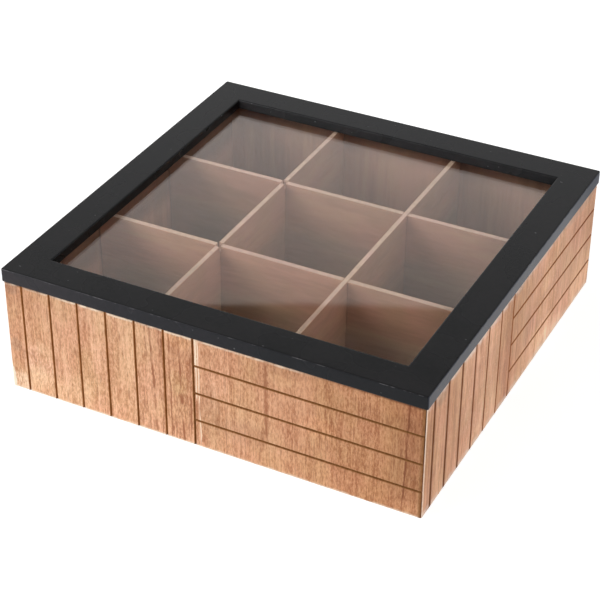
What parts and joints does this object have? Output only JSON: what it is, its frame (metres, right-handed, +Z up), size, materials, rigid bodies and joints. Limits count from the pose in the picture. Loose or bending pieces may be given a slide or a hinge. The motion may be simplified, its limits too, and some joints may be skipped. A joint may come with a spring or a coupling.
{
  "type": "tea bag organizer box",
  "caption": "Square low wooden box with a grid of compartments for tea bags, grooved plank walls and a hinged lid of black mitred rails round a glass pane.",
  "frame": {"origin": "middle of the underside of the box walls and bottom panel, on the surface that the box stands on", "axes": "+X along the front wall from its left end to its right end, +Y from the front to the hinged back, +Z up"},
  "size_m": [0.24, 0.2456, 0.0745],
  "materials": {
    "veneered_wood": "matte warm brown open-grain veneer with burnt brown grooves",
    "divider_wood": "matte unfinished thin board with paler cut edges",
    "hardboard": "matte plain board",
    "black_lacquer": "satin black lacquer on wood",
    "glass": "clear, polished",
    "sealant": "black silicone, matt",
    "brass_plate": "thin brass plating on sheet steel, satin",
    "plated_steel": "yellow zinc plating, satin"
  },
  "bodies": {
    "box": {"front_wall": "veneered_wood", "right_wall": "veneered_wood", "back_wall": "veneered_wood", "left_wall": "veneered_wood", "bottom_panel": "hardboard", "divider_front": "divider_wood", "divider_back": "divider_wood", "divider_left": "divider_wood", "divider_right": "divider_wood", "hinge_left_wall_leaf": "brass_plate", "hinge_left_pin": "plated_steel", "hinge_right_wall_leaf": "brass_plate", "hinge_right_pin": "plated_steel", "wall_screws": "plated_steel"},
    "lid": {"lid_front_rail": "black_lacquer", "lid_right_rail": "black_lacquer", "lid_back_rail": "black_lacquer", "lid_left_rail": "black_lacquer", "glass_pane": "glass", "glass_sealant": "sealant", "hinge_left_lid_leaf": "brass_plate", "hinge_right_lid_leaf": "brass_plate", "lid_screws": "plated_steel"}
  },
  "joints": [
    {"name": "lid_hinge", "type": "hinge", "parent": "box", "child": "lid", "pos_m": [0, 0.12185, 0.0665], "axis": [-1, 0, 0], "range_deg": [0, 100]}
  ]
}
